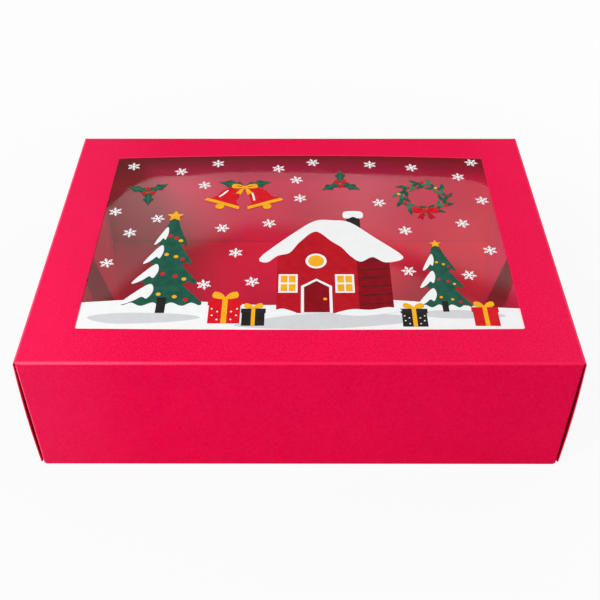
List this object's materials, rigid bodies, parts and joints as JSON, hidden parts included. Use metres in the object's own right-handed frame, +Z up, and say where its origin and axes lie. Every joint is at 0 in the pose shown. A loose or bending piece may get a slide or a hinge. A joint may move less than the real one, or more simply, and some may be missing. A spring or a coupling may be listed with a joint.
{
  "type": "folding gift box",
  "caption": "Folded paperboard sweet box: a deep lift-off lid with a clear film window over a tray with double end walls and springy corner ears.",
  "frame": {"origin": "middle of the closed box's footprint, on the surface that it stands on", "axes": "+X along the long side to the right, +Y to the back, +Z up; the front is at -Y"},
  "size_m": [0.2528, 0.182, 0.0705],
  "materials": {
    "lid_board": "matt coated board",
    "tray_board": "matt board",
    "film": "clear film"
  },
  "bodies": {
    "tray": {"base_floor": "tray_board", "base_left_wall": "tray_board", "base_right_wall": "tray_board", "base_front_wall": "tray_board", "base_back_wall": "tray_board", "base_front_rim": "tray_board", "base_back_rim": "tray_board", "base_front_liner": "tray_board", "base_back_liner": "tray_board", "base_front_left_tab": "tray_board", "base_front_right_tab": "tray_board", "base_back_left_tab": "tray_board", "base_back_right_tab": "tray_board"},
    "lid": {"lid_top_panel": "lid_board", "window_film": "film", "lid_front_wall": "lid_board", "lid_back_wall": "lid_board", "lid_left_skirt": "lid_board", "lid_right_skirt": "lid_board", "lid_left_liner": "lid_board", "lid_right_liner": "lid_board", "lid_front_left_ear": "lid_board", "lid_front_right_ear": "lid_board", "lid_back_left_ear": "lid_board", "lid_back_right_ear": "lid_board"},
    "front_left_ear": {"base_front_left_ear": "tray_board"},
    "front_right_ear": {"base_front_right_ear": "tray_board"},
    "back_left_ear": {"base_back_left_ear": "tray_board"},
    "back_right_ear": {"base_back_right_ear": "tray_board"}
  },
  "joints": [
    {"name": "lid_lift", "type": "slide", "parent": "tray", "child": "lid", "axis": [0, 0, 1], "range_m": [0, 0.12]},
    {"name": "front_left_ear_swing", "type": "hinge", "parent": "tray", "child": "front_left_ear", "pos_m": [-0.1171, -0.08125, 0.03365], "axis": [0, 0, -1], "range_deg": [-2.5, 65], "stiffness_Nm_per_rad": 0.004},
    {"name": "front_right_ear_swing", "type": "hinge", "parent": "tray", "child": "front_right_ear", "pos_m": [0.1171, -0.08125, 0.03365], "axis": [0, 0, 1], "range_deg": [-2.5, 65], "stiffness_Nm_per_rad": 0.004},
    {"name": "back_left_ear_swing", "type": "hinge", "parent": "tray", "child": "back_left_ear", "pos_m": [-0.1171, 0.08125, 0.03365], "axis": [0, 0, 1], "range_deg": [-2.5, 65], "stiffness_Nm_per_rad": 0.004},
    {"name": "back_right_ear_swing", "type": "hinge", "parent": "tray", "child": "back_right_ear", "pos_m": [0.1171, 0.08125, 0.03365], "axis": [0, 0, -1], "range_deg": [-2.5, 65], "stiffness_Nm_per_rad": 0.004}
  ]
}
